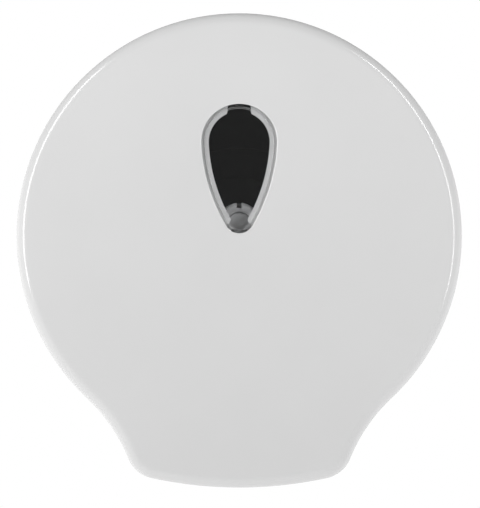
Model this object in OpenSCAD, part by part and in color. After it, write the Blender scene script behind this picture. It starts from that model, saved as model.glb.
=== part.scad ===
// Wall-mounted dispenser for one jumbo toilet roll.
// A round cover with a narrow chin drops forward on a hinge at its foot, and a cam lock holds it at the top.
// The roll turns on a hub that runs on a fixed post, and its paper leaves through the open bottom of the chin.
//
// X runs to the right, Y into the wall and Z up. The origin is where the hub's axis meets the wall.
// "Plan" below is the view from the front: x to the right, y up and z out from the wall.

/* [Cover] */
// Outer radius of the round body
body_r = 172.5; // [165:0.5:180]
// Distance from the wall to the front face
depth = 130; // [124:1:150]
// Distance from the centre of the round body down to the foot of the chin
body_drop = 195; // [190:1:204]
// Height of the hub's axis above the centre of the round body
spindle_rise = 10; // [4:0.5:16]
// Thickness of the cover's wall
wall = 3; // [2.4:0.1:3.6]
// Radius of the rounded edge round the front face
edge_r = 9; // [7:0.5:11]
// Gap between the wall and the cover's rear edge
rear_gap = 3; // [2:0.5:4]

/* [Chin] */
// Angle below the horizontal at which the hollow flanks leave the round body
chin_angle = 46.8; // [45:0.2:49]
// Radius of the hollow flanks
waist_r = 133; // [125:1:145]
// Radius of the curved foot
foot_r = 318; // [280:1:360]
// Radius of the two lower corners
corner_r = 25; // [18:1:30]
// Depth of the lip that is left in front of the paper exit
exit_lip = 12; // [11:0.5:14]

/* [Window] */
// Radius of the window's round head
window_r = 29.4; // [27:0.1:31]
// Radius of the window's small end
window_tip_r = 11.8; // [10.5:0.1:13]
// Distance between the centres of the window's two ends
window_len = 58.8; // [54:0.2:62]
// Radius of the window's long sides
window_side_r = 136; // [120:1:160]
// Height of the round head's centre above the hub's axis
window_rise = 62.6; // [58:0.2:66]
// Width of the ledge that the lens rests on
ledge_w = 5.8; // [5:0.1:6.4]
// Thickness of the ledge
ledge_t = 2.2; // [1.8:0.1:3]
// Thickness of the collar that carries the ledge
collar_w = 2.5; // [2:0.1:3.5]
// Thickness of the lens
lens_t = 3; // [2.6:0.1:3.2]
// Width of the bevel round the lens
lens_bevel = 2.6; // [2:0.1:3]
// Width of the lens hooks
hook_w = 11; // [8:0.5:12]

/* [Back plate] */
// Thickness of the back plate
plate_t = 3; // [2.5:0.1:4]
// Gap between the cover's inner face and the back plate
plate_gap = 3; // [2.5:0.1:4]
// Height of the wall round the back plate
tray_h = 12; // [9:0.5:13]
// Thickness of that wall
tray_wall = 2.5; // [2:0.1:3]
// Height of the ribs on the back plate
rib_h = 4; // [3:0.5:4.5]
// Thickness of the ribs
rib_t = 2; // [1.6:0.1:2.6]
// Distance between the wall screws across the plate
screw_span_x = 200; // [180:5:210]
// Distance between the wall screws up the plate
screw_span_z = 160; // [140:5:170]
// Width of the slots for the wall screws
slot_w = 5.5; // [4.5:0.1:6.5]
// Length of the slots for the wall screws
slot_len = 12; // [9:0.5:14]

/* [Hub] */
// Outer radius of the hub
hub_r = 16; // [15:0.5:20]
// Distance from the front face back to the hub's nose
hub_setback = 18; // [16:0.5:24]
// Wall of the hub's sleeves
hub_wall = 2.6; // [2:0.1:3]
// Radius of the disc behind the roll
disc_r = 38; // [34:1:50]
// Thickness of that disc
disc_t = 2.5; // [2:0.1:3.5]
// Width of the notches in the hub's nose
notch_w = 3.7; // [3:0.1:4.5]
// Depth of the notches in the hub's nose
notch_d = 4.2; // [3.4:0.1:4.4]
// Length of the notches
notch_len = 38; // [20:1:60]
// Radius of the fixed post
post_r = 6; // [5:0.25:6.5]
// Radius of the post's flange
flange_r = 30; // [28:1:36]
// Thickness of the post's flange
flange_t = 4; // [3.5:0.5:6]
// Outer radius of the felt brake washer
brake_r = 18; // [12:0.5:18.5]
// Thickness of the felt brake washer
brake_t = 2; // [1.5:0.1:3]

/* [Hinge] */
// Distance of the hinge axis from the wall
hinge_out = 14; // [13.5:0.5:17]
// Height of the hinge axis above the foot
hinge_up = 11; // [10.5:0.25:12]
// Radius of the hinge pins
pin_r = 2; // [1.5:0.1:2.5]
// Radius of the knuckles
knuckle_r = 4.5; // [4.2:0.1:4.8]
// Width of the back plate's ears
ear_w = 6; // [4:0.5:9]
// Width of the cover's lugs
lug_w = 5; // [4:0.5:7]

/* [Lock] */
// Distance of the lock's axis from the wall
lock_out = 30; // [29:0.5:36]
// Radius of the lock's barrel
barrel_r = 8; // [7.5:0.25:9]
// Length of the barrel below its flange
barrel_len = 16; // [14:0.5:20]
// Radius of the turning plug
plug_r = 5.4; // [4.6:0.1:5.6]
// Length of the cam from the lock's axis
cam_len = 22; // [20:0.5:24]
// Width of the cam
cam_w = 8; // [7.5:0.5:9]
// Thickness of the cam
cam_t = 2; // [1.5:0.1:3]
// Thickness of the keeper's steel strip
keeper_t = 2; // [1.5:0.1:2.5]
// Height of the keeper
keeper_h = 16; // [12:0.5:18]

/* [Tear strips] */
// Width of a tear strip, teeth included
strip_w = 12; // [10:0.5:13]
// Thickness of a tear strip
strip_t = 0.8; // [0.6:0.1:1.5]
// Distance from tooth to tooth
tooth_pitch = 4; // [3:0.25:6]
// Height of a tooth
tooth_h = 3.6; // [2:0.1:4.5]
// Distance from a tear strip to the rounded corner beside it
strip_edge = 1; // [0.5:0.1:3]

/* [Fits] */
// Radial clearance of what turns
run_gap = 0.05; // [0.03:0.01:0.08]
// Clearance of what is held
fit_gap = 0.05; // [0.03:0.01:0.08]
// Clearance between curved or loosely seated faces
seat_gap = 0.15; // [0.1:0.05:0.2]
// Side clearance between parts that swing past each other
side_gap = 0.5; // [0.3:0.1:0.8]

/* [Hidden] */
$fn = 96;
far = 500;
cut = 1;
// Largest gap between a curved outline and its facets
flatness = 0.05;

// Levels above the wall
inner_front = depth - wall;
ledge_top = depth - lens_t - 2 * seat_gap;
ledge_foot = ledge_top - ledge_t;
post_foot = plate_t + 3;
flange_top = post_foot + flange_t;
hub_foot = flange_top + brake_t + seat_gap;
hub_front = depth - hub_setback;
hub_recess = 6;
clip_foot = hub_front - hub_recess + seat_gap;
clip_t = 1;
groove_r = post_r - 0.9;
post_top = hub_front - 3;

// Outline of the body: arcs about these centres, measured from the centre of the round body
waist_at = (body_r + waist_r) * [cos(chin_angle), -sin(chin_angle)];
foot_at = [0, foot_r - body_drop];
corner_at = circles_meet(waist_at, waist_r + corner_r, foot_at, foot_r - corner_r);
waist_end = bearing(waist_at, corner_at);
foot_end = bearing(foot_at, corner_at);
// Width of the paper exit, which leaves room beside it for the tear strips
exit_w = 2 * ((foot_r - wall) * cos(foot_end) - strip_edge - strip_w + tooth_h);
exit_top = foot_y(exit_w / 2, 2 * wall);

// Outline of the window, measured from the hub's axis
window_head = [0, window_rise];
window_tip = [0, window_rise - window_len];
window_side = circles_meet(window_tip, window_side_r - window_tip_r, window_head, window_side_r - window_r);
side_from = bearing(window_side, window_tip);
side_to = bearing(window_side, window_head);

// Point to the left of the line from a to b where circles about a and b cross
function circles_meet(a, r_a, b, r_b) =
    let (gap = norm(b - a), along = (b - a) / gap, reach = (gap ^ 2 + r_a ^ 2 - r_b ^ 2) / (2 * gap))
    a + along * reach + [-along.y, along.x] * sqrt(r_a ^ 2 - reach ^ 2);
function bearing(from, to) = atan2(to.y - from.y, to.x - from.x);
function flip(p) = [-p.x, p.y];
function polar(r, angle) = r * [cos(angle), sin(angle)];
// Height of the foot's surface at x, a given way inside the outline
function foot_y(x, inset) = foot_at.y - sqrt((foot_r - inset) ^ 2 - x ^ 2);

// Half outlines, from the foot up the right side to the top. An arc is its centre, radius, first and
// last angle, and 1 where it bulges outwards or -1 where it is hollow.
body_arcs = [
    [foot_at, foot_r, -90, foot_end, 1],
    [corner_at, corner_r, foot_end, waist_end - 180, 1],
    [waist_at, waist_r, waist_end, 180 - chin_angle, -1],
    [[0, 0], body_r, -chin_angle, 90, 1],
];
window_arcs = [
    [window_tip, window_tip_r, -90, side_from, 1],
    [window_side, window_side_r, side_from, side_to, 1],
    [window_head, window_r, side_to, 90, 1],
];

// Points of an arc, without its last, a given way inside it
function arc_points(arc, inset) =
    let (steps = ceil(abs(arc[3] - arc[2]) / (2 * acos(1 - flatness / arc[1]))))
    [for (i = [0:steps - 1]) arc[0] + polar(arc[1] - arc[4] * inset, arc[2] + (arc[3] - arc[2]) * i / steps)];
// Points of a whole outline, a given way inside it
function outline(arcs, inset) =
    let (top = arcs[len(arcs) - 1], half = [for (arc = arcs) each arc_points(arc, inset)])
    concat(half, [top[0] + [0, top[1] - inset]], [for (i = [len(half) - 1:-1:1]) flip(half[i])]);
// Quarter round of a profile, as steps from its first to its last angle
function quarter(centre, r, from, to, steps) =
    [for (i = [0:steps]) centre + polar(r, from + (to - from) * i / steps)];

// Hinge, lock and exit
hinge_y = hinge_up - body_drop;
hinge_z = hinge_y - spindle_rise;
ear_x = exit_w / 2 - side_gap - ear_w;
pin_head_r = 3.4;
pin_head_t = 1.6;
crown_z = body_r - spindle_rise;
lock_seat = crown_z - 1.8;
lock_pad = crown_z - wall - 3.5;
lock_flange_t = 1.4;
nut_t = 4;
washer_t = 1;
barrel_flat = 1;
plug_head_r = plug_r + 1.1;
plug_head_t = 1;
tang = plug_r * 1.1;
cam_screw_r = 1.5;
barrel_foot = lock_seat - barrel_len;
cam_top = barrel_foot - seat_gap;
cam_foot = cam_top - cam_t;
keeper_pad = plate_t + 5;
keeper_lip = lock_out + cam_w / 2 + 0.6;
keeper_x = cam_len + 4.5;
keeper_bite = 7;
keeper_base = 21.5;
keeper_top = cam_top + 0.4;
keeper_mid = keeper_top - keeper_h / 2;
keeper_screw_x = [for (k = [0.3, 0.75]) keeper_x + keeper_t + k * keeper_base];

// Screws and stakes
screw_r = 1.7;
screw_head_r = 3.2;
screw_head_t = 2;
countersink = 2;
cross_l = 4;
cross_w = 0.8;
cross_d = 1.2;
pilot_floor = 1;
spindle_screw_at = 22;
post_seat_w = 2;
wall_seat_w = 6;
stake_r = 1.5;
stake_head_r = 2.8;
stake_head_t = 1.2;
strip_foot = hinge_out + knuckle_r + 3;
strip_top = depth - exit_lip - 2;
strip_x = exit_w / 2 - tooth_h;

// ---------------------------------------------------------------- helpers

// Turns a plan drawing, with z out from the wall, up against the wall
module on_wall() rotate([90, 0, 0]) children();

// Plan coordinates measured from the centre of the round body
module at_body() translate([0, -spindle_rise, 0]) children();

module both_sides() {
    children();
    mirror([1, 0, 0]) children();
}

// A solid whose outline follows the arcs and steps through a path of insets and levels
module loft(arcs, path) {
    rings = [for (step = path) outline(arcs, step.x)];
    n = len(rings[0]);
    last = (len(path) - 1) * n;
    polyhedron(
        points = [for (k = [0:len(path) - 1], p = rings[k]) [p.x, p.y, path[k].y]],
        faces = concat(
            [[for (i = [0:n - 1]) i], [for (i = [n - 1:-1:0]) last + i]],
            [for (k = [0:len(path) - 2], i = [0:n - 1], side = [0, 1])
                let (a = k * n + i, b = k * n + (i + 1) % n)
                side == 0 ? [a, a + n, b + n] : [a, b + n, b]]
        )
    );
}

module window_area(inset) polygon(outline(window_arcs, inset));

// A slab across X from x0, drawn with x out from the wall and y up
module slab_x(x0, width) {
    translate([x0 + width, 0, 0]) rotate([0, -90, 0]) linear_extrude(width) children();
}

module at_post_screws() {
    for (i = [0:2]) rotate(30 + 120 * i) translate([spindle_screw_at, 0, 0]) children();
}

// Cross recess, cut down from a screw head's top
module cross_recess(top, length, width) {
    for (turn = [0, 90]) rotate(turn) translate([-length / 2, -width / 2, top - cross_d])
        cube([length, width, cross_d + cut]);
}

// A plain ring standing at a level
module ring(outer, inner, foot, height) {
    translate([0, 0, foot]) linear_extrude(height) difference() {
        circle(outer);
        circle(inner);
    }
}

// ------------------------------------------------------------ back plate

module wall_slot(width) {
    run = slot_len - slot_w;
    square([run, width], center = true);
    for (side = [-1, 1]) translate([side * run / 2, 0]) circle(width / 2);
}

module at_wall_screws() {
    for (x = [-1, 1], y = [-1, 1]) translate([x * screw_span_x / 2, y * screw_span_z / 2]) children();
}

module plate_outline() {
    swing = norm([hinge_out, foot_y(exit_w / 2, 0) - hinge_y]);
    difference() {
        at_body() polygon(outline(body_arcs, wall + plate_gap));
        at_body() both_sides() translate([exit_w / 2 - side_gap, -far + hinge_y + swing]) square([far, far]);
    }
}

// The plate's upright wall, which ends where the chin begins and leaves a gap at the lock
module tray_outline() {
    difference() {
        polygon(outline(body_arcs, wall + plate_gap));
        polygon(outline(body_arcs, wall + plate_gap + tray_wall));
        translate([-far, -far - body_r * sin(chin_angle)]) square([2 * far, far]);
        translate([-keeper_x, 0]) square([2 * keeper_x, far]);
    }
}

// Twelve ribs that start at a radius and run outwards
module spokes(from) {
    for (i = [0:11]) rotate(15 + 30 * i) translate([from, -rib_t / 2]) square([far, rib_t]);
}

module plate_ribs() {
    inner = body_r - wall - plate_gap - tray_wall / 2;
    linear_extrude(rib_h) intersection() {
        at_body() circle(inner);
        union() {
            for (k = [0.38, 0.635]) difference() {
                circle(k * inner + rib_t / 2);
                circle(k * inner - rib_t / 2);
            }
            spokes(flange_r);
        }
    }
}

module hinge_ear() {
    root = foot_y(ear_x + ear_w, wall + plate_gap) + 2 * knuckle_r;
    slab_x(ear_x, ear_w) {
        translate([hinge_out, hinge_y]) circle(knuckle_r);
        translate([0, hinge_y - knuckle_r]) square([hinge_out, 2 * knuckle_r]);
        translate([0, hinge_y]) square([plate_t + rib_h, root - hinge_y]);
    }
}

module keeper_seat() {
    translate([-keeper_x - keeper_t - keeper_base, keeper_mid - keeper_h / 2, 0])
        cube([keeper_base + keeper_t, keeper_h, keeper_pad]);
}

module back_plate() {
    color("#26282a") on_wall() difference() {
        union() {
            linear_extrude(plate_t) plate_outline();
            at_body() translate([0, 0, plate_t]) linear_extrude(tray_h) tray_outline();
            translate([0, 0, plate_t]) plate_ribs();
            cylinder(r = flange_r + post_seat_w, h = post_foot);
            at_wall_screws() linear_extrude(plate_t + rib_h / 2) wall_slot(slot_w + 2 * wall_seat_w);
            at_body() both_sides() hinge_ear();
            keeper_seat();
        }
        at_wall_screws() translate([0, 0, -cut]) linear_extrude(far) wall_slot(slot_w);
        at_post_screws() translate([0, 0, pilot_floor]) cylinder(r = screw_r + fit_gap, h = far);
        for (x = keeper_screw_x) translate([-x, keeper_mid, pilot_floor]) cylinder(r = screw_r + fit_gap, h = far);
        at_body() both_sides() translate([ear_x - cut, hinge_y, hinge_out]) rotate([0, 90, 0])
            cylinder(r = pin_r + fit_gap, h = ear_w + 2 * cut);
    }
}

// ---------------------------------------------------------- post and hub

module spindle_post() {
    flange_edge = 1;
    tip = 1.5;
    color("#c4c7c9") on_wall() difference() {
        union() {
            translate([0, 0, post_foot]) cylinder(r = flange_r, h = flange_t - flange_edge);
            translate([0, 0, flange_top - flange_edge])
                cylinder(r1 = flange_r, r2 = flange_r - flange_edge, h = flange_edge);
            translate([0, 0, post_foot]) cylinder(r = post_r, h = post_top - tip - post_foot);
            translate([0, 0, post_top - tip]) cylinder(r1 = post_r, r2 = post_r - tip, h = tip);
        }
        ring(post_r + cut, groove_r, clip_foot, clip_t + 2 * seat_gap);
        at_post_screws() {
            translate([0, 0, post_foot - cut]) cylinder(r = screw_r + fit_gap, h = far);
            translate([0, 0, flange_top - countersink - fit_gap])
                cylinder(r1 = screw_r, r2 = screw_r + countersink, h = countersink);
            translate([0, 0, flange_top - fit_gap]) cylinder(r = screw_r + countersink, h = cut);
        }
    }
}

module spindle_screws() {
    top = flange_top - 2 * fit_gap;
    color("silver") on_wall() at_post_screws() difference() {
        union() {
            translate([0, 0, pilot_floor + fit_gap]) cylinder(r = screw_r, h = top - pilot_floor - 1);
            translate([0, 0, top - countersink + fit_gap])
                cylinder(r1 = screw_r, r2 = screw_r + countersink - fit_gap, h = countersink - fit_gap);
        }
        cross_recess(top, cross_l, cross_w);
    }
}

module brake_washer() {
    color("dimgray") on_wall() ring(brake_r, post_r + 2 * seat_gap, flange_top, brake_t);
}

module hub_profile() {
    bore = post_r + run_gap;
    core = bore + hub_wall;
    nose = 2;
    translate([bore, hub_foot]) square([disc_r - disc_t / 2 - bore, disc_t]);
    translate([disc_r - disc_t / 2, hub_foot + disc_t / 2]) circle(disc_t / 2);
    translate([bore, hub_foot]) square([hub_wall, hub_front - hub_recess - hub_foot]);
    translate([hub_r - hub_wall, hub_foot]) square([hub_wall, hub_front - nose - hub_foot]);
    translate([core, hub_front - hub_wall]) square([hub_r - nose - core, hub_wall]);
    translate([core, hub_front - hub_recess - hub_wall]) square([hub_wall, hub_recess + hub_wall]);
    translate([hub_r - nose, hub_front - nose]) circle(nose);
}

module roll_hub() {
    core = post_r + run_gap + hub_wall / 2;
    color("#c4c7c9") on_wall() difference() {
        union() {
            rotate_extrude() hub_profile();
            for (i = [0:3]) rotate(45 + 90 * i) translate([core, -rib_t / 2, hub_foot])
                cube([hub_r - hub_wall / 2 - core, rib_t, hub_front - hub_recess - hub_foot]);
        }
        for (i = [0:3]) rotate(90 * i) translate([hub_r - notch_d, -notch_w / 2, hub_front - notch_len])
            cube([notch_d + cut, notch_w, far]);
    }
}

// Retaining ring in the post's groove, open on one side
module hub_clip() {
    mouth = 3.5;
    color("#55585a") on_wall() difference() {
        ring(post_r + hub_wall - 2 * seat_gap, groove_r + fit_gap, clip_foot + seat_gap, clip_t);
        translate([0, -mouth / 2, clip_foot - cut]) cube([far, mouth, clip_t + 2 * cut]);
    }
}

// ----------------------------------------------------------------- hinge

module hinge_pin() {
    reach = ear_w + side_gap + lug_w - 0.5;
    color("silver") translate([ear_x, -hinge_out, hinge_z]) rotate([0, 90, 0]) {
        translate([0, 0, -seat_gap]) cylinder(r = pin_r, h = reach + seat_gap);
        translate([0, 0, -seat_gap - pin_head_t]) cylinder(r = pin_head_r, h = pin_head_t);
    }
}

module hinge_pin_right() hinge_pin();

module hinge_pin_left() mirror([1, 0, 0]) hinge_pin();

// ----------------------------------------------------------------- cover

// Inner face, rear edge, outer face and rounded front edge of the cover, as insets and levels
function cover_path() =
    let (turn = [edge_r, depth - edge_r])
    concat(
        quarter(turn, edge_r - wall, 90, 180, 5),
        [[wall, rear_gap], [0, rear_gap]],
        quarter(turn, edge_r, 180, 90, 8)
    );

// Places a stake across the foot's wall: z runs up from the middle of the wall
module at_stakes() {
    at_x = exit_w / 2 + (strip_w - tooth_h) / 2;
    for (k = [0.2, 0.8]) translate([foot_at.x, foot_at.y, strip_foot + k * (strip_top - strip_foot)])
        rotate([0, 0, asin(at_x / foot_r)]) translate([0, wall / 2 - foot_r, 0]) rotate([-90, 0, 0]) children();
}

// The opening through the front face, with a rounded edge
module window_cut() {
    round_r = 1.2;
    loft(window_arcs, concat(
        [[0, inner_front - cut]],
        quarter([-round_r, depth - round_r], round_r, 0, 90, 3),
        [[-round_r, depth + cut]]
    ));
}

// Ledge behind the lens, with a gap at the top and bottom for the lens hooks
module window_ledge() {
    translate([0, 0, ledge_top]) linear_extrude(inner_front - ledge_top) difference() {
        window_area(-collar_w);
        window_area(0);
    }
    translate([0, 0, ledge_foot]) linear_extrude(ledge_t) difference() {
        window_area(-collar_w);
        window_area(ledge_w);
        intersection() {
            window_area(0);
            for (at = [window_head.y + window_r, window_tip.y - window_tip_r])
                translate([0, at]) square([hook_w + 4, 2 * ledge_w + 2], center = true);
        }
    }
}

module hinge_lug() {
    foot = foot_y(exit_w / 2 + lug_w / 2, wall / 2);
    slab_x(exit_w / 2, lug_w) {
        translate([hinge_out, hinge_y]) circle(knuckle_r);
        translate([hinge_out - knuckle_r, foot]) square([2 * knuckle_r, hinge_y - foot]);
    }
}

module lock_pad() {
    translate([0, -lock_out, lock_pad]) cylinder(r = barrel_r + 6, h = crown_z - 2 - lock_pad);
}

module barrel_section(r) {
    intersection() {
        circle(r);
        square([far, 2 * (r - barrel_flat)], center = true);
    }
}

module front_cover() {
    color("whitesmoke") difference() {
        union() {
            on_wall() {
                difference() {
                    at_body() loft(body_arcs, cover_path());
                    at_body() translate([-exit_w / 2, exit_top - far, -cut])
                        cube([exit_w, far, depth - exit_lip + cut]);
                    window_cut();
                }
                window_ledge();
                at_body() both_sides() {
                    hinge_lug();
                    at_stakes() {
                        cylinder(r = stake_r, h = wall / 2 + strip_t + 3 * seat_gap);
                        translate([0, 0, wall / 2 + strip_t + 2 * seat_gap])
                            cylinder(r = stake_head_r, h = stake_head_t);
                    }
                }
            }
            lock_pad();
        }
        translate([0, -lock_out, 0]) {
            translate([0, 0, lock_seat]) cylinder(r = barrel_r + 3.4, h = far);
            linear_extrude(far) barrel_section(barrel_r + fit_gap);
        }
        both_sides() translate([exit_w / 2 - cut, -hinge_out, hinge_z]) rotate([0, 90, 0])
            cylinder(r = pin_r + run_gap, h = lug_w + 2 * cut);
    }
}

// Hook that holds the lens behind the window's collar, at an end of the window with this centre and
// radius, where dir is 1 at the top and -1 at the bottom
module lens_hook(centre, r, dir) {
    leg = 1.8;
    barb = 1.2;
    foot = ledge_foot - seat_gap - leg;
    reach = sqrt(r ^ 2 - (hook_w / 2) ^ 2) - 2 * seat_gap;
    slab_x(-hook_w / 2, hook_w) translate([0, centre.y]) scale([1, dir]) {
        translate([foot, reach - leg]) square([ledge_top + 2 * seat_gap - foot, leg]);
        translate([foot, reach - leg]) square([leg, r + barb - reach + leg]);
    }
}

module window_lens() {
    foot = ledge_top + seat_gap;
    top = foot + lens_t;
    bevel = lens_bevel / 2;
    color([0.85, 0.88, 0.9, 0.45]) on_wall() {
        loft(window_arcs, [[seat_gap, foot], [seat_gap, top - bevel], [seat_gap + lens_bevel, top]]);
        lens_hook(window_head, window_r, 1);
        lens_hook(window_tip, window_tip_r, -1);
    }
}

// ----------------------------------------------------------- tear strips

module tooth_outline() {
    count = floor((strip_top - strip_foot) / tooth_pitch);
    start = (strip_top + strip_foot - count * tooth_pitch) / 2;
    back = strip_x + strip_w;
    polygon(concat(
        [[back, strip_foot], [strip_x + tooth_h, strip_foot]],
        [for (i = [0:count - 1], step = [[tooth_h, 0], [0, 0.5]])
            [strip_x + step.x, start + (i + step.y) * tooth_pitch]],
        [[strip_x + tooth_h, start + count * tooth_pitch], [strip_x + tooth_h, strip_top], [back, strip_top]]
    ));
}

module tear_strip() {
    outer = foot_r - wall - seat_gap;
    color("#8d9092") on_wall() at_body() difference() {
        intersection() {
            linear_extrude(depth) intersection() {
                translate(foot_at) difference() {
                    circle(outer);
                    circle(outer - strip_t);
                }
                translate([strip_x - cut, foot_at.y - far]) square([strip_w + 2 * cut, far]);
            }
            rotate([90, 0, 0]) linear_extrude(far) tooth_outline();
        }
        at_stakes() cylinder(r = stake_r + seat_gap, h = far);
    }
}

module tear_strip_right() tear_strip();

module tear_strip_left() mirror([1, 0, 0]) tear_strip();

// ------------------------------------------------------------------ lock

module at_lock(z) translate([0, -lock_out, z]) children();

module lock_housing() {
    color("silver") difference() {
        union() {
            at_lock(lock_seat) cylinder(r = barrel_r + 3, h = lock_flange_t);
            at_lock(barrel_foot) linear_extrude(barrel_len) barrel_section(barrel_r);
        }
        at_lock(barrel_foot - cut) cylinder(r = plug_r + run_gap, h = far);
        at_lock(lock_seat + lock_flange_t - plug_head_t - seat_gap) cylinder(r = plug_head_r + seat_gap, h = far);
    }
}

module lock_washer() {
    color("#b8b08a") at_lock(0) ring(barrel_r + 3.5, barrel_r + 0.3, lock_pad - washer_t, washer_t);
}

module lock_nut() {
    color("#b8b08a") at_lock(lock_pad - washer_t - nut_t) difference() {
        cylinder(r = barrel_r + 3.5, h = nut_t, $fn = 6);
        translate([0, 0, -cut]) cylinder(r = barrel_r + fit_gap, h = far);
    }
}

module lock_plug() {
    head_foot = lock_seat + lock_flange_t - plug_head_t;
    color("silver") difference() {
        union() {
            at_lock(head_foot) cylinder(r = plug_head_r, h = plug_head_t - seat_gap);
            at_lock(barrel_foot) cylinder(r = plug_r, h = head_foot - barrel_foot);
            at_lock(cam_foot + seat_gap) translate([-tang / 2, -tang / 2, 0]) cube([tang, tang, cam_t + seat_gap]);
        }
        at_lock(head_foot - 8) translate([-0.7, -plug_r * 0.8, 0]) cube([1.4, plug_r * 1.6, far]);
        at_lock(cam_foot - cut) cylinder(r = cam_screw_r + fit_gap, h = cam_t + 7);
    }
}

module lock_cam() {
    color("#c9c27f") at_lock(cam_foot) linear_extrude(cam_t) difference() {
        union() {
            circle(cam_w * 0.8);
            translate([-cam_w / 2, 0]) square([cam_w, cam_len - 2]);
            translate([-cam_w / 2 + 2, 0]) square([cam_w - 4, cam_len]);
            for (side = [-1, 1]) translate([side * (cam_w / 2 - 2), cam_len - 2]) circle(2);
        }
        square(tang + 2 * fit_gap, center = true);
    }
}

module cam_screw() {
    color("silver") at_lock(0) difference() {
        union() {
            translate([0, 0, cam_foot - screw_head_t]) cylinder(r = tang * 0.8, h = screw_head_t);
            translate([0, 0, cam_foot - cut]) cylinder(r = cam_screw_r, h = cam_t + 5);
        }
        translate([0, 0, cam_foot - screw_head_t]) mirror([0, 0, 1]) cross_recess(0, cross_l, cross_w);
    }
}

// Steel strip bent into a hook: its lip stands in front of the cam when the lock is turned
module latch_keeper() {
    bend = keeper_t + 1;
    web = -keeper_x - keeper_t;
    lip_top = keeper_lip + keeper_t;
    color("lightsteelblue") difference() {
        translate([0, 0, keeper_mid - keeper_h / 2]) linear_extrude(keeper_h) scale([1, -1]) {
            translate([web - keeper_base, keeper_pad]) square([keeper_base + keeper_t, keeper_t]);
            translate([web, keeper_pad]) square([keeper_t, lip_top - bend - keeper_pad]);
            translate([web + bend, keeper_lip]) square([keeper_bite - cam_len - web - bend, keeper_t]);
            intersection() {
                translate([web + bend, lip_top - bend]) difference() {
                    circle(bend);
                    circle(bend - keeper_t);
                }
                translate([web, lip_top - bend]) square(bend);
            }
        }
        for (x = keeper_screw_x) translate([-x, 0, keeper_mid]) rotate([90, 0, 0])
            cylinder(r = screw_r + 0.2, h = keeper_pad + keeper_t + cut);
    }
}

module keeper_screws() {
    top = keeper_pad + keeper_t;
    color("silver") on_wall() for (x = keeper_screw_x) translate([-x, keeper_mid, 0]) difference() {
        union() {
            translate([0, 0, 2 * pilot_floor]) cylinder(r = screw_r, h = top - pilot_floor);
            translate([0, 0, top]) cylinder(r = screw_head_r, h = screw_head_t);
        }
        cross_recess(top + screw_head_t, cross_l, cross_w);
    }
}

back_plate();
spindle_post();
spindle_screws();
brake_washer();
roll_hub();
hub_clip();
hinge_pin_left();
hinge_pin_right();
latch_keeper();
keeper_screws();
front_cover();
window_lens();
tear_strip_left();
tear_strip_right();
lock_housing();
lock_washer();
lock_nut();
lock_plug();
lock_cam();
cam_screw();
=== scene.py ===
"""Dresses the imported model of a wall-mounted jumbo toilet roll dispenser for rendering.

Lengths are in metres. X runs to the right, Y into the wall and Z up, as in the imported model.
An outline is drawn as seen from the front, in x and z, and a level is the distance out from the
wall. Angles are in degrees.
"""

import functools
import logging
import math
from dataclasses import dataclass, field
from enum import Enum

import bmesh
import bpy
from mathutils import Matrix, Vector


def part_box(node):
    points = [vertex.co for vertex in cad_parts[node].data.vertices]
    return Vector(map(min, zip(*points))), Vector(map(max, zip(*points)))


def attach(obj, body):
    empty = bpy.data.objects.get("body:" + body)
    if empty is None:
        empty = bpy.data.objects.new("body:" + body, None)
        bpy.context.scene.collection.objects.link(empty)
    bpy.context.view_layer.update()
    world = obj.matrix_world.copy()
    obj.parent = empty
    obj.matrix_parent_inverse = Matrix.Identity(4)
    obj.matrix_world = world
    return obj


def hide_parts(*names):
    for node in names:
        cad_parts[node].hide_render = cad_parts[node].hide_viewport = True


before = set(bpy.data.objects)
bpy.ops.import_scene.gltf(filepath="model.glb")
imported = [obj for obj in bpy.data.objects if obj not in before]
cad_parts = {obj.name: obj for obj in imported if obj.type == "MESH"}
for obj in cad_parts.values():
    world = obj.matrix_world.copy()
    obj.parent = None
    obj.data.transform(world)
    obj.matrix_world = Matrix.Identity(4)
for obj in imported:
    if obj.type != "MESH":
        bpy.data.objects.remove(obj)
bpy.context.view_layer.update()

log = logging.getLogger("dispenser")

MM = 0.001
WELD = 0.001 * MM
FINE_WELD = 0.0001 * MM
OVERRUN = 1 * MM
RIGHT = Vector((1.0, 0.0, 0.0))
UP = Vector((0.0, 0.0, 1.0))
FACING = Vector((0.0, -1.0, 0.0))

Colour = tuple[float, float, float]
Point = tuple[float, float, float]
Pair = tuple[float, float]
Path = list[Pair]
Mesh = bmesh.types.BMesh
Loop = list[bmesh.types.BMEdge]
Material = bpy.types.Material
Socket = bpy.types.NodeSocket
Number = Socket | float
Value = Socket | float | tuple[float, ...]


# ---------- outlines


def polar(radius: float, angle: float) -> Vector:
    """Returns the point of the drawing plane at a radius and an angle."""
    turn = math.radians(angle)
    return Vector((math.cos(turn), math.sin(turn))) * radius


def bearing(start: Vector, end: Vector) -> float:
    """Returns the angle of the line from start to end."""
    return math.degrees(math.atan2(end.y - start.y, end.x - start.x))


def circles_meet(a: Vector, radius_a: float, b: Vector, radius_b: float) -> Vector:
    """Finds where two circles cross, to the left of the line from a to b.

    Args:
        a: Centre of the first circle.
        radius_a: Its radius.
        b: Centre of the second circle.
        radius_b: Its radius.

    Returns:
        The crossing point.
    """
    gap = (b - a).length
    along = (b - a) / gap
    reach = (gap**2 + radius_a**2 - radius_b**2) / (2 * gap)
    return a + along * reach + Vector((-along.y, along.x)) * math.sqrt(radius_a**2 - reach**2)


def pour(source: Mesh, target: Mesh) -> None:
    """Adds one mesh to another.

    Args:
        source: Mesh to add. It is freed.
        target: Mesh that it goes into.
    """
    step = bpy.data.meshes.new("step")
    source.to_mesh(step)
    target.from_mesh(step)
    bpy.data.meshes.remove(step)
    source.free()


@dataclass(frozen=True)
class Arc:
    """One arc of an outline."""

    centre: Vector
    radius: float
    start: float
    end: float


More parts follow.
